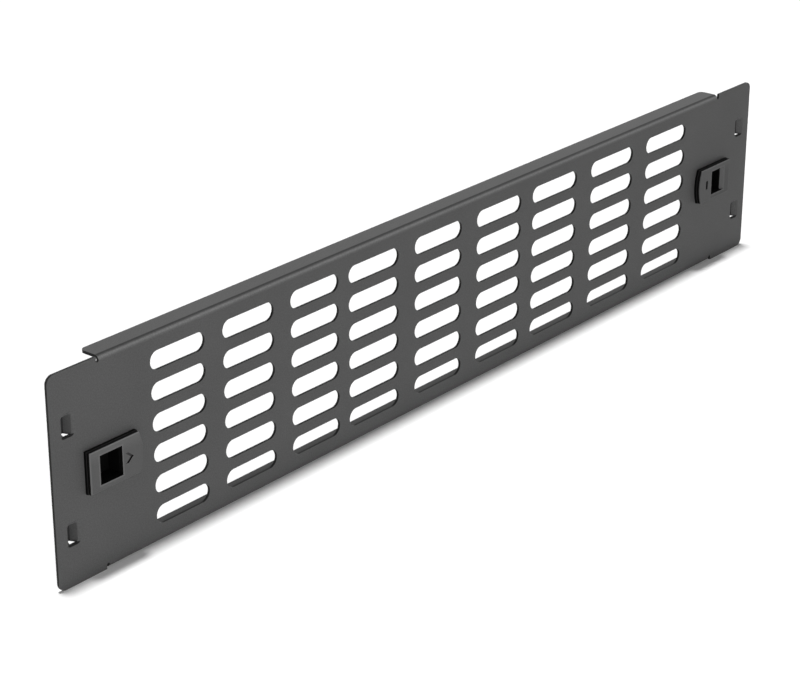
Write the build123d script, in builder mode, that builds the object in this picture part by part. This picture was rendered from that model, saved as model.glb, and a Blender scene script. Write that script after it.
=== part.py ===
from build123d import *
import os

os.makedirs("parts", exist_ok=True)

# Frame: millimetres, X along the width, Y rearwards into the rack, Z up.
# The origin is the centre of the sheet's rear face, which seats on the rails.

# Folded sheet
panel_width = 482.6
panel_height = 88.1
sheet = 1.2
ear_corner_radius = 3.5
top_flange_depth = 10.2      # overall, from the front face
bottom_flange_depth = 13.0
bend_radius = 2.2            # outside of the bend
flange_corner_radius = 2.4
left_ear = 24.6              # flat end outboard of the relief
right_ear = 29.7
relief_width = 1.4
relief_depth = 2.4

# Vent slots, three groups of columns
slot_height = 8.0
row_pitch = 13.0
row_margin = 7.0             # least distance from a row to the panel's edge
left_slot_margin = 52.0      # panel end to the first slot
slot_lengths = (29.7, 32.7, 34.7)
column_webs = (10.0, 10.9, 11.5)
group_gaps = (6.4, 8.7)
columns_per_group = 3
opening_margin = 3.0         # least distance from a slot to a latch opening

# Locating lugs pressed rearwards, to drop into the rails' square holes
lug_inset = 8.75             # panel end to the line of holes
lug_spacing = 44.45          # between the two lugs of one end
lug_width = 5.8              # mouth on the front face
lug_height = 8.4
lug_depth = 3.0              # behind the rear face
lug_skirt = 0.6              # outside, beyond the mouth
lug_wall = 0.8
lug_draft = 2.0              # narrowing of each side over the depth
lug_radius = 1.1
lug_rim = 0.7                # bevel of the mouth's edge

# Slide latches
left_latch_inset = 28.9      # panel end to the middle of the finger plate
right_latch_inset = 33.8
plate_width = 25.8
plate_height = 17.2
plate_stand = 3.1            # finger plate's face in front of the sheet
base_layer = 1.2
base_step = 0.2              # base layer, beyond the face on every side
plate_bulge = 1.8            # inboard edge, beyond its corners
plate_edge_bevel = 0.35
pocket_width = 10.0
pocket_height = 12.1
pocket_depth = 8.0
pocket_shift = 1.35          # pocket's middle, outboard of the plate's middle
pocket_bevel = 1.6
neck_wall = 1.15
running_gap = 0.15
side_gap = 0.3
travel = 6.0
lip_height = 1.4
lip_thickness = 1.5
lip_bevel = 0.9
rail_lap = 16.3              # panel end to the rail's inner edge
rail_thickness = 2.0
engagement = 4.5             # tongue behind the rail when locked
tongue_thickness = 2.4
tongue_height = 10.0
tongue_bevel = 1.2
arrow_height = 4.0           # engraved on the left latch, pointing to the middle
arrow_length = 2.4
arrow_inset = 3.6            # arrow's tip from the plate's inboard corners
bar_height = 4.4             # engraved on the right latch
bar_inset = 4.95             # bar's middle from the plate's inboard corners
engraved_stroke = 1.2
engraved_depth = 0.35

# Derived sizes
half_width = panel_width / 2
half_height = panel_height / 2
flange_left = left_ear + relief_width - half_width
flange_right = half_width - right_ear - relief_width
flange_length = flange_right - flange_left
flange_middle = (flange_left + flange_right) / 2
slot_rows = int((panel_height - 2 * row_margin - slot_height) / row_pitch) + 1
neck_width = pocket_width + 2 * neck_wall
neck_height = pocket_height + 2 * neck_wall
neck_back = pocket_depth - sheet - plate_stand + neck_wall
cutout_width = neck_width + travel + 2 * side_gap
cutout_height = neck_height + 2 * side_gap
plate_front = -sheet - plate_stand
plate_back = -sheet - running_gap
step_line = plate_back - base_layer
lip_front = running_gap
lip_back = lip_front + lip_thickness
tongue_front = rail_thickness + 2 * running_gap
tongue_end = half_width - rail_lap + engagement
lug_top = lug_height + lug_skirt
latches = (
    ("left_latch", -1, left_latch_inset, "arrow"),
    ("right_latch", 1, right_latch_inset, "bar"),
)

# Middle of each latch opening, which is longer than the neck by the travel
cutouts = [
    side * (half_width - inset + pocket_shift - travel / 2) for name, side, inset, mark in latches
]

# Column positions from the left end, clear of the latch openings
first_tip = cutouts[0] + cutout_width / 2 + opening_margin
last_tip = cutouts[1] - cutout_width / 2 - opening_margin
slot_columns = []
edge = left_slot_margin - half_width
for group in range(len(slot_lengths)):
    for column in range(columns_per_group):
        if edge > first_tip and edge + slot_lengths[group] < last_tip:
            slot_columns.append((edge + slot_lengths[group] / 2, slot_lengths[group]))
        edge += slot_lengths[group] + column_webs[group]
    if group < len(group_gaps):
        edge += group_gaps[group] - column_webs[group]

# Folded sheet with its slots, lugs and latch openings
with BuildPart() as panel:
    with BuildSketch(Plane.XZ):
        RectangleRounded(panel_width, panel_height, ear_corner_radius)
    extrude(amount=sheet)
    for flange_depth, flange_z in (
        (top_flange_depth, half_height - sheet / 2),
        (bottom_flange_depth, sheet / 2 - half_height),
    ):
        with Locations((flange_middle, flange_depth / 2 - sheet, flange_z)):
            Box(flange_length, flange_depth, sheet)
    # Reliefs that part the flat ends from the bends
    with BuildSketch(Plane.XZ):
        with Locations(
            (flange_left - relief_width / 2, half_height),
            (flange_right + relief_width / 2, half_height),
            (flange_left - relief_width / 2, -half_height),
            (flange_right + relief_width / 2, -half_height),
        ):
            SlotOverall(2 * relief_depth, relief_width, rotation=90)
    extrude(amount=sheet, mode=Mode.SUBTRACT)
    # Bends, outside and inside
    long_edges = panel.edges().filter_by(Axis.X).filter_by(
        lambda e: e.length > flange_length * 0.9
    )
    outer = long_edges.filter_by(
        lambda e: abs(e.center().Y + sheet) < 0.01
        and abs(abs(e.center().Z) - half_height) < 0.01
    )
    fillet(outer, radius=bend_radius)
    inner = panel.edges().filter_by(Axis.X).filter_by(
        lambda e: abs(e.center().Y) < 0.01
        and abs(abs(e.center().Z) - half_height + sheet) < 0.01
        and e.length > flange_length * 0.9
    )
    fillet(inner, radius=bend_radius - sheet)
    flange_corners = panel.edges().filter_by(Axis.Z).filter_by(
        lambda e: e.center().Y > bend_radius
    )
    fillet(flange_corners, radius=flange_corner_radius)
    # Vent slots
    for column_x, column_length in slot_columns:
        with BuildSketch(Plane.XZ):
            with Locations((column_x, 0)):
                with GridLocations(0, row_pitch, 1, slot_rows):
                    SlotOverall(column_length, slot_height)
        extrude(amount=sheet, mode=Mode.SUBTRACT)
    # Openings that the latch necks slide in
    with BuildSketch(Plane.XZ):
        with Locations((cutouts[0], 0), (cutouts[1], 0)):
            Rectangle(cutout_width, cutout_height)
    extrude(amount=sheet, mode=Mode.SUBTRACT)
    # Lugs: drawn scoops, closed at the top and open below
    for lug_x in (lug_inset - half_width, half_width - lug_inset):
        for lug_z in (-lug_spacing / 2, lug_spacing / 2):
            foot = lug_z - lug_top / 2
            with BuildSketch(Plane.XZ.offset(sheet / 2)) as root:
                with Locations((lug_x, foot)):
                    Rectangle(lug_width + 2 * lug_skirt, lug_top, align=(Align.CENTER, Align.MIN))
                fillet(root.vertices().group_by(Axis.Z)[-1], radius=lug_radius)
            with BuildSketch(Plane.XZ.offset(-lug_depth)) as nose:
                with Locations((lug_x, foot)):
                    Rectangle(
                        lug_width + 2 * lug_skirt - 2 * lug_draft,
                        lug_top - lug_draft / 2,
                        align=(Align.CENTER, Align.MIN),
                    )
                fillet(nose.vertices().group_by(Axis.Z)[-1], radius=lug_radius / 2)
            loft()
            with BuildSketch(Plane.XZ.offset(sheet)) as mouth:
                with Locations((lug_x, foot)):
                    Rectangle(lug_width, lug_height, align=(Align.CENTER, Align.MIN))
                fillet(mouth.vertices().group_by(Axis.Z)[-1], radius=lug_radius)
            with BuildSketch(Plane.XZ.offset(lug_wall - lug_depth)) as floor:
                with Locations((lug_x, foot)):
                    Rectangle(
                        lug_width - 2 * lug_draft,
                        lug_height - lug_draft / 2,
                        align=(Align.CENTER, Align.MIN),
                    )
                fillet(floor.vertices().group_by(Axis.Z)[-1], radius=lug_radius / 2)
            loft(mode=Mode.SUBTRACT)
            rim = panel.edges().filter_by(
                lambda e: abs(e.center().Y + sheet) < 0.01
                and abs(e.center().X - lug_x) < lug_width / 2 + 0.01
                and foot + 0.1 < e.center().Z < foot + lug_height + 0.01
            )
            chamfer(rim, length=lug_rim)
panel.part.label = "panel"
export_step(panel.part, "parts/panel.step")

# Latch mouldings; side is -1 at the left end and 1 at the right, outboard
for latch_name, side, inset, mark in latches:
    middle = side * (half_width - inset)
    neck_middle = middle + side * pocket_shift
    pocket_edge = neck_middle + side * pocket_width / 2
    with BuildPart() as latch:
        # Finger plate in two layers, its inboard edge bowed out
        for step, start, end in ((0, plate_front, step_line), (base_step, step_line, plate_back)):
            outboard = middle + side * (plate_width / 2 + step)
            inboard = middle - side * (plate_width / 2 + step)
            top = plate_height / 2 + step
            with BuildSketch(Plane.XZ.offset(-end)):
                with BuildLine():
                    Polyline((inboard, top), (outboard, top), (outboard, -top), (inboard, -top))
                    ThreePointArc(
                        (inboard, -top), (inboard - side * plate_bulge, 0), (inboard, top)
                    )
                make_face()
            extrude(amount=end - start)
        face_edges = latch.edges().filter_by(lambda e: abs(e.center().Y - plate_front) < 0.01)
        chamfer(face_edges, length=plate_edge_bevel)
        # Neck through the sheet, and the lips that snap behind it
        with Locations((neck_middle, (plate_back + neck_back) / 2, 0)):
            Box(neck_width, neck_back - plate_back, neck_height)
        with Locations((neck_middle, (lip_front + lip_back) / 2, 0)):
            Box(neck_width, lip_thickness, neck_height + 2 * (side_gap + lip_height))
        lip_edges = latch.edges().filter_by(Axis.X).filter_by(
            lambda e: abs(e.center().Y - lip_back) < 0.01
            and abs(e.center().Z) > neck_height / 2 + side_gap
        )
        chamfer(lip_edges, length=lip_bevel)
        # Tongue that slides behind the rail
        tongue_tip = side * tongue_end
        with Locations(
            ((pocket_edge + tongue_tip) / 2, tongue_front + tongue_thickness / 2, 0)
        ):
            Box(abs(tongue_tip - pocket_edge), tongue_thickness, tongue_height)
        tip_edge = latch.edges().filter_by(Axis.Z).filter_by(
            lambda e: abs(e.center().X - tongue_tip) < 0.01
            and abs(e.center().Y - tongue_front) < 0.01
        )
        chamfer(tip_edge, length=tongue_bevel)
        # Finger pocket, bevelled at its outboard rim
        with Locations((neck_middle, plate_front + pocket_depth / 2, 0)):
            Box(pocket_width, pocket_depth, pocket_height, mode=Mode.SUBTRACT)
        rim = latch.edges().filter_by(Axis.Z).filter_by(
            lambda e: abs(e.center().Y - plate_front) < 0.01
            and abs(e.center().X - pocket_edge) < 0.01
        )
        chamfer(rim, length=pocket_bevel)
        # Engraved mark, an arrow on the left latch and a bar on the right one
        apex = middle - side * (plate_width / 2 - arrow_inset)
        tail = apex + side * arrow_length
        bar_x = middle - side * (plate_width / 2 - bar_inset)
        with BuildSketch(Plane.XZ.offset(-plate_front)):
            if mark == "arrow":
                with BuildLine():
                    Polyline(
                        (apex, 0),
                        (tail, arrow_height / 2),
                        (tail + side * engraved_stroke, arrow_height / 2),
                        (apex + side * engraved_stroke, 0),
                        (tail + side * engraved_stroke, -arrow_height / 2),
                        (tail, -arrow_height / 2),
                        close=True,
                    )
                make_face()
            else:
                with Locations((bar_x, 0)):
                    Rectangle(engraved_stroke, bar_height)
        extrude(amount=-engraved_depth, mode=Mode.SUBTRACT)
    latch.part.label = latch_name
    export_step(latch.part, f"parts/{latch_name}.step")
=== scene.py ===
"""Looks of a vented rack blanking panel: powder-coated sheet with two plastic slide latches."""
import math

import bpy
from mathutils import Matrix, Vector

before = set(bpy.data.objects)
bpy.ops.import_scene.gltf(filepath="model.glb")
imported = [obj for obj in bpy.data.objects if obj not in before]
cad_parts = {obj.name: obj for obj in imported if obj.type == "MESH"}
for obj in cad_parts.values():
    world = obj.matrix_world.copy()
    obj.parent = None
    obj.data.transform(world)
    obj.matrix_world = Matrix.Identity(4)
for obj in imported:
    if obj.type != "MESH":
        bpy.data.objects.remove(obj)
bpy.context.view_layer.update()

# Places on the part, in metres; "half" sizes are (across, in height)
FLOOR_Z = -0.04405
BEND_Z = 0.04185            # where the bends begin, above and below the middle
BEND_PAINT_DEPTH = 0.0025          # depth that the painted highlight and shade along the upper bend take up
FLANGE_LEFT = -0.2153
FLANGE_RIGHT = 0.2102
FLANGE_INSIDE = 0.04285
FOLD_HALF = 0.0001          # reach of the painted shade strip in a fold, up and down
FOLD_START = 0.0005         # how far behind the sheet that strip begins
SHEET = 0.0012
LUG_X = 0.23255
LUG_Z = 0.022225
LUG_HALF = (0.0046, 0.0044)
HOLLOW_HALF = 0.0027        # of a lug's inside, at the back of the sheet
HOLLOW_TAPER = 0.59         # how much it narrows with depth, on each side
HOLLOW_DEPTHS = (-0.0004, 0.0024)
DEEP_SHADE_START = 0.0013         # depth from which a lug's inside is painted dark, as painted shade
DEEP_SHADE_LEFT_END = 0.0009      # where that painted shade ends at the left end, right of the lug's middle
LUG_RIM_DEPTHS = (-0.00114, -0.0005)
LUG_RIM_END = -0.0028       # the painted highlight on the rim lies left of this, from the lug's middle
LEFT_LATCH_X = -0.2124
RIGHT_LATCH_X = 0.2075
PLATE_FRONT = -0.0043       # face of the finger plates
PLATE_STEP = -0.00255       # line between the two layers of a finger plate
PLATE_BEVEL = 0.00035
PLATE_HALF = (0.0129, 0.0086)
PLATE_RIM = 0.0005          # painted highlight along a plate's upper and outer edges
POCKET_HALF = (0.0050, 0.00605)
POCKET_SHIFT = 0.00135      # outboard of the plate's middle
POCKET_BEVEL = 0.0016
POCKET_RING = 0.0006        # painted highlight in a ring on the face round a pocket
MARK_HALF = 0.0022
MARK_DEPTH = 0.0004
ARROW_SLOPE = 1.2
LIT_HEIGHTS = (0.003, 0.007)    # over which painted light on a finger face grows upwards

# How far inside its edges a face is painted, and how near to a plane a point lies on it
INSIDE = 0.00006
END_INSIDE = 0.00005
ON_PLANE = 0.00003
ON_STEP = 0.00004
AT_POCKET = 0.00002
AT_RIM = 0.00001

# Shares of the coat's tone, by which light and shade are painted into it
PLAIN = 0.6                 # everywhere but in the painted highlight and shade along the upper bend
CUT_EDGE_SHADE_SHARE = 0.22
FOLD_SHADE_SHARE = 0.5
LUG_LIGHT_AND_SHADE = (0.8, 1.15)    # inside the lugs: painted shade at the left end, painted light at the right end
LUG_DEEP_SHADE_SHARE = 0.28
LUG_RIM_HIGHLIGHT_SHARE = 1.25

# Tones of the latches
SIDE_BLACK = 0.0035         # sides of the front layer
BASE_BLACK = 0.002          # all that lies behind it
STEP_BLACK = 0.022          # line between the two
MARK_SHADE_BLACK = 0.004
LIT_SHARE = 1.2             # part of the finger face with painted light
HIGHLIGHT_SHARE = 1.4          # painted highlight on its rim, and on the pocket's ring and bevel

# Scales of the noises, per metre
COAT_GRAIN = 1700.0
COAT_CLOUDS = 34.0
COAT_PEEL = 700.0
PLASTIC_GRAIN = 1800.0

# Floor and world
FLOOR_TONE = 0.93
FLOOR_GLOW = 0.01
SOFT_LIGHT = 0.14


def add(tree, kind, **values):
    """Adds a node and sets its plain properties and its inputs by name."""
    node = tree.nodes.new(kind)
    for key, value in values.items():
        if key == "inputs":
            for name, number in value.items():
                node.inputs[name].default_value = number
        else:
            setattr(node, key, value)
    return node


def math_node(tree, operation, *operands):
    """A math node whose operands are sockets or numbers; returns its output."""
    node = add(tree, "ShaderNodeMath", operation=operation)
    for place, operand in enumerate(operands):
        if isinstance(operand, (int, float)):
            node.inputs[place].default_value = operand
        else:
            tree.links.new(operand, node.inputs[place])
    return node.outputs["Value"]


def within(tree, value, low, high):
    """1 where the value lies between the two limits, otherwise 0."""
    return math_node(tree, "COMPARE", value, (low + high) / 2, (high - low) / 2)


def below(tree, value, limit):
    return math_node(tree, "LESS_THAN", value, limit)


def above(tree, value, limit):
    return math_node(tree, "GREATER_THAN", value, limit)


def both(tree, *factors):
    """The product of masks, or of a tone and its shares."""
    out = factors[0]
    for factor in factors[1:]:
        out = math_node(tree, "MULTIPLY", out, factor)
    return out


def either(tree, *masks):
    out = masks[0]
    for mask in masks[1:]:
        out = math_node(tree, "MAXIMUM", out, mask)
    return out


def outside(tree, mask):
    return math_node(tree, "SUBTRACT", 1.0, mask)


def ramp(tree, source, stops):
    """Numbers along a value, from (place, number) stops."""
    node = add(tree, "ShaderNodeValToRGB")
    band = node.color_ramp
    while len(band.elements) < len(stops):
        band.elements.new(0.5)
    for element, (place, grey) in zip(band.elements, stops):
        element.position = place
        element.color = (grey, grey, grey, 1)
    tree.links.new(source, node.inputs["Fac"])
    return node.outputs["Color"]


def choose(tree, mask, no, yes):
    """One number where the mask is 0 and another where it is 1."""
    node = add(tree, "ShaderNodeMix", data_type="FLOAT")
    tree.links.new(mask, node.inputs["Factor"])
    for name, value in (("A", no), ("B", yes)):
        if isinstance(value, (int, float)):
            node.inputs[name].default_value = value
        else:
            tree.links.new(value, node.inputs[name])
    return node.outputs["Result"]


def surface(name):
    """A new material, with the object coordinates whole and as three sockets."""
    mat = bpy.data.materials.new(name)
    mat.use_nodes = True
    tree = mat.node_tree
    place = add(tree, "ShaderNodeTexCoord").outputs["Object"]
    axes = add(tree, "ShaderNodeSeparateXYZ")
    tree.links.new(place, axes.inputs["Vector"])
    return mat, tree, place, axes.outputs


def noise(tree, place, scale, detail=2.0, roughness=0.6):
    node = add(tree, "ShaderNodeTexNoise",
               inputs={"Scale": scale, "Detail": detail, "Roughness": roughness})
    tree.links.new(place, node.inputs["Vector"])
    return node.outputs["Fac"]


def bump(tree, height, strength, distance, under=None):
    node = add(tree, "ShaderNodeBump", inputs={"Strength": strength, "Distance": distance})
    tree.links.new(height, node.inputs["Height"])
    if under is not None:
        tree.links.new(under, node.inputs["Normal"])
    return node.outputs["Normal"]


def powder_coat():
    """Dark grey powder coat, fine grained, with painted shade on cut edges and in the folds,
    painted shade and light inside the lugs, and a painted highlight and shade line along the
    upper bend.
    """
    mat, tree, place, axes = surface("powder_coat")
    x, y, z = axes["X"], axes["Y"], axes["Z"]
    across, height = math_node(tree, "ABSOLUTE", x), math_node(tree, "ABSOLUTE", z)
    between_ends = within(tree, x, FLANGE_LEFT + END_INSIDE, FLANGE_RIGHT - END_INSIDE)
    in_lug = both(tree, within(tree, across, LUG_X - LUG_HALF[0], LUG_X + LUG_HALF[0]),
                  within(tree, height, LUG_Z - LUG_HALF[1], LUG_Z + LUG_HALF[1]))
    flat = either(tree, below(tree, height, BEND_Z), outside(tree, between_ends))
    # The cut edges of the sheet and the flanges are painted darker, as painted shade
    sheet_edge = both(tree, within(tree, y, -SHEET + INSIDE, -INSIDE), flat,
                      outside(tree, in_lug))
    flange_edge = both(tree, within(tree, height, FLANGE_INSIDE + INSIDE, -FLOOR_Z - INSIDE),
                       above(tree, y, SHEET))
    bend_end = both(tree, above(tree, height, BEND_Z),
                    either(tree, within(tree, x, FLANGE_LEFT - ON_PLANE, FLANGE_LEFT + ON_PLANE),
                           within(tree, x, FLANGE_RIGHT - ON_PLANE, FLANGE_RIGHT + ON_PLANE)))
    cut_edge_shade = either(tree, sheet_edge, flange_edge, bend_end)
    # The flanges' inner faces behind the sheet are painted darker, as painted shade
    fold_shade = both(tree, within(tree, height, FLANGE_INSIDE - FOLD_HALF, FLANGE_INSIDE + FOLD_HALF),
                above(tree, y, FOLD_START))

    # Painted along the upper bend: a highlight line, then a shade line, then the flange slightly
    # darker
    turn = math_node(tree, "MULTIPLY_ADD", y, 1 / BEND_PAINT_DEPTH, 0.5)
    bend_light_and_shade_ramp = ramp(tree, turn, ((0.0, PLAIN), (0.05, 0.75), (0.14, 1.0), (0.24, 0.95),
                             (0.42, 0.42), (0.7, 0.16), (0.95, 0.56)))
    on_bend = both(tree, above(tree, z, BEND_Z + END_INSIDE), between_ends)
    bend_light_and_shade = choose(tree, on_bend, PLAIN, bend_light_and_shade_ramp)

    # Inside the lugs: a painted highlight on the left rim, the hollow painted darker at the left
    # end and lighter at the right end, and painted shade in its deepest part
    from_lug = math_node(tree, "MULTIPLY_ADD", math_node(tree, "SIGN", x), -LUG_X, x)
    slope = math_node(tree, "MULTIPLY_ADD", y, HOLLOW_TAPER,
                      math_node(tree, "ABSOLUTE", from_lug))
    hollow = both(tree, in_lug, within(tree, y, *HOLLOW_DEPTHS), below(tree, slope, HOLLOW_HALF))
    right_end = above(tree, x, 0.0)
    deep_lug_shade = both(tree, hollow, above(tree, y, DEEP_SHADE_START),
                either(tree, right_end, below(tree, from_lug, DEEP_SHADE_LEFT_END)))
    lug_rim_highlight = both(tree, in_lug, within(tree, y, *LUG_RIM_DEPTHS),
                   below(tree, from_lug, LUG_RIM_END))
    lug_light_and_shade = choose(tree, hollow, choose(tree, lug_rim_highlight, 1.0, LUG_RIM_HIGHLIGHT_SHARE),
                       choose(tree, right_end, *LUG_LIGHT_AND_SHADE))
    lug_light_and_shade = choose(tree, deep_lug_shade, lug_light_and_shade, LUG_DEEP_SHADE_SHARE)

    grain = noise(tree, place, COAT_GRAIN)
    tone = ramp(tree, noise(tree, place, COAT_CLOUDS, 3.0, 0.5), ((0.3, 0.129), (0.7, 0.139)))
    speck = ramp(tree, grain, ((0.35, 0.80), (0.65, 1.0)))
    shade = both(tree, tone, speck, bend_light_and_shade, choose(tree, cut_edge_shade, 1.0, CUT_EDGE_SHADE_SHARE),
                 choose(tree, fold_shade, 1.0, FOLD_SHADE_SHARE), lug_light_and_shade)
    shader = tree.nodes["Principled BSDF"]
    tree.links.new(shade, shader.inputs["Base Color"])
    fine = bump(tree, grain, 0.25, 0.00004)
    tree.links.new(bump(tree, noise(tree, place, COAT_PEEL, 2.0, 0.5), 0.2, 0.00006, fine),
                   shader.inputs["Normal"])
    shader.inputs["Roughness"].default_value = 0.42
    shader.inputs["IOR"].default_value = 1.45
    shader.inputs["Specular IOR Level"].default_value = 0.08
    return mat


def latch_plastic(name, middle, side, tone, mark_span, upper_mark, lit_from):
    """Black moulded plastic whose finger face is as grey as the sheet.

    side is -1 at the left end and 1 at the right. mark_span is the mark's reach inboard of the
    plate's middle, and upper_mark the tone of its upper half, painted lighter on the left arrow
    as painted light.
    The face has painted light towards its top and further inboard than lit_from; 1.0 is past its
    edge.
    """
    mat, tree, place, axes = surface(name)
    x, y, z = axes["X"], axes["Y"], axes["Z"]
    pocket = middle + side * POCKET_SHIFT
    inboard = math_node(tree, "MULTIPLY_ADD", x, -side, side * middle)
    from_pocket = math_node(tree, "ABSOLUTE", math_node(tree, "SUBTRACT", x, pocket))
    height = math_node(tree, "ABSOLUTE", z)
    window = both(tree, below(tree, from_pocket, POCKET_HALF[0] + AT_POCKET),
                  below(tree, height, POCKET_HALF[1] + AT_POCKET))

    # The left latch is marked with an arrow, the right one with a bar, painted dark as shade in
    # their engraved grooves
    if side < 0:
        along = math_node(tree, "MULTIPLY_ADD", height, ARROW_SLOPE, inboard)
    else:
        along = inboard
    face = below(tree, y, PLATE_FRONT + INSIDE)
    mark = both(tree, within(tree, along, *mark_span), below(tree, height, MARK_HALF),
                below(tree, y, PLATE_FRONT + MARK_DEPTH))
    upwards = add(tree, "ShaderNodeMapRange",
                  inputs={"From Min": LIT_HEIGHTS[0], "From Max": LIT_HEIGHTS[1]})
    tree.links.new(z, upwards.inputs["Value"])
    # Painted light on the finger face towards its top, and on the right latch further inboard
    lit = both(tree, face,
               either(tree, upwards.outputs["Result"], above(tree, inboard, lit_from)))
    rim = both(tree, below(tree, y, PLATE_FRONT + PLATE_BEVEL - AT_RIM),
               outside(tree, window), outside(tree, mark))
    # Painted highlights on the plate's upper and outer rim, round the pocket and on its bevel
    rim_highlight = both(tree, rim, either(tree, above(tree, z, PLATE_HALF[1] - PLATE_RIM),
                                        below(tree, inboard, PLATE_RIM - PLATE_HALF[0])))
    pocket_outer = -POCKET_SHIFT - POCKET_HALF[0]
    pocket_bevel_highlight = both(tree, below(tree, inboard, pocket_outer - ON_STEP),
                 above(tree, inboard, pocket_outer - POCKET_BEVEL - ON_STEP),
                 below(tree, height, POCKET_HALF[1]), below(tree, y, PLATE_FRONT + POCKET_BEVEL))
    pocket_ring_highlight = both(tree, face, below(tree, height, POCKET_HALF[1] + POCKET_RING),
                within(tree, inboard, pocket_outer - POCKET_BEVEL - POCKET_RING,
                       -POCKET_SHIFT + POCKET_HALF[0] + POCKET_RING))
    step = within(tree, y, PLATE_STEP - ON_STEP, PLATE_STEP + ON_STEP)
    base = above(tree, y, PLATE_STEP)
    grain = noise(tree, place, PLASTIC_GRAIN)
    black = choose(tree, step, choose(tree, base, SIDE_BLACK, BASE_BLACK), STEP_BLACK)
    # Painted shade in the marks; on the left arrow the upper arm is painted lighter, as painted
    # light
    black = choose(tree, mark, black,
                   choose(tree, above(tree, z, 0.0), MARK_SHADE_BLACK, upper_mark))
    grey = choose(tree, either(tree, rim_highlight, pocket_ring_highlight, pocket_bevel_highlight),
                  choose(tree, lit, tone, tone * LIT_SHARE), tone * HIGHLIGHT_SHARE)
    shade = both(tree, choose(tree, either(tree, rim, pocket_bevel_highlight), black, grey),
                 ramp(tree, grain, ((0.3, 0.93), (0.7, 1.0))))
    shader = tree.nodes["Principled BSDF"]
    tree.links.new(shade, shader.inputs["Base Color"])
    tree.links.new(bump(tree, grain, 0.2, 0.00004), shader.inputs["Normal"])
    shader.inputs["Roughness"].default_value = 0.5
    shader.inputs["IOR"].default_value = 1.45
    shader.inputs["Specular IOR Level"].default_value = 0.06
    return mat


def dress(node, mat):
    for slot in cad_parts[node].material_slots:
        slot.link = "OBJECT"
        slot.material = mat


dress("panel", powder_coat())
# The two latches are the same plastic; the left finger face has the lighter tone as painted
# light
dress("left_latch", latch_plastic("left_latch_plastic", LEFT_LATCH_X, -1, tone=0.082,
                                  mark_span=(0.0079, 0.0094), upper_mark=0.04, lit_from=1.0))
dress("right_latch", latch_plastic("right_latch_plastic", RIGHT_LATCH_X, 1, tone=0.069,
                                   mark_span=(0.0071, 0.0088), upper_mark=MARK_SHADE_BLACK,
                                   lit_from=0.0036))

# Camera, fitted to the photograph's outline
FOCAL_PIXELS = 2303.7
IMAGE_WIDTH = 800
CAMERA_PLACE = (-0.74703, -0.5784, 0.37861)
RIGHT = (0.63272, -0.77438, 0.00056)
DOWN = (-0.30036, -0.24608, -0.92154)
AHEAD = (0.71376, 0.58291, -0.38829)
lens = bpy.data.cameras.new("camera")
lens.sensor_fit = "HORIZONTAL"
lens.sensor_width = 36.0
lens.lens = FOCAL_PIXELS * lens.sensor_width / IMAGE_WIDTH
lens.clip_start = 0.01
lens.clip_end = 100
camera = bpy.data.objects.new("camera", lens)
bpy.context.collection.objects.link(camera)
turned = Matrix([[RIGHT[i], -DOWN[i], -AHEAD[i]] for i in range(3)]).to_4x4()
camera.matrix_world = Matrix.Translation(CAMERA_PLACE) @ turned
scene = bpy.context.scene
scene.camera = camera


def seen_white(tree):
    """1 for the rays that see the background: from the camera, a reflection or glass."""
    path = add(tree, "ShaderNodeLightPath").outputs
    return either(tree, path["Is Camera Ray"], path["Is Glossy Ray"],
                  path["Is Transmission Ray"])


# White floor that keeps the shadow
bpy.ops.mesh.primitive_circle_add(vertices=96, radius=12, fill_type="NGON",
                                  location=(0, 0, FLOOR_Z))
floor = bpy.context.object
floor.name = "floor"
floor_white = bpy.data.materials.new("floor_white")
floor_white.use_nodes = True
tree = floor_white.node_tree
shader = tree.nodes["Principled BSDF"]
shader.inputs["Base Color"].default_value = (FLOOR_TONE, FLOOR_TONE, FLOOR_TONE, 1)
shader.inputs["Roughness"].default_value = 1.0
shader.inputs["Specular IOR Level"].default_value = 0.0
glow = add(tree, "ShaderNodeEmission")
tree.links.new(math_node(tree, "MULTIPLY", seen_white(tree), FLOOR_GLOW),
               glow.inputs["Strength"])
mixed = add(tree, "ShaderNodeAddShader")
tree.links.new(shader.outputs["BSDF"], mixed.inputs[0])
tree.links.new(glow.outputs["Emission"], mixed.inputs[1])
tree.links.new(mixed.outputs["Shader"], tree.nodes["Material Output"].inputs["Surface"])
floor.data.materials.append(floor_white)

# World: a little soft light, and white where the background is seen
world = bpy.data.worlds.new("studio")
scene.world = world
world.use_nodes = True
tree = world.node_tree
soft = tree.nodes["Background"]
soft.inputs["Color"].default_value = (1, 1, 1, 1)
tree.links.new(choose(tree, seen_white(tree), SOFT_LIGHT, 1.0), soft.inputs["Strength"])


def lamp(name, kind, energy, place, **sizes):
    """A lamp at that place that points at the middle of the panel."""
    light = bpy.data.lights.new(name, kind)
    light.energy = energy
    for key, value in sizes.items():
        setattr(light, key, value)
    obj = bpy.data.objects.new(name, light)
    obj.location = place
    obj.rotation_euler = (-Vector(place)).to_track_quat("-Z", "Y").to_euler()
    bpy.context.collection.objects.link(obj)


# The key light stands almost overhead and a little behind; the fill comes from the front left
lamp("key", "SUN", 3.05, (0, 0.049, 1.0), angle=math.radians(6.6))
lamp("fill", "AREA", 11.0, (-0.78, -1.18, 0.25), shape="DISK", size=0.7)

scene.view_settings.view_transform = "Standard"
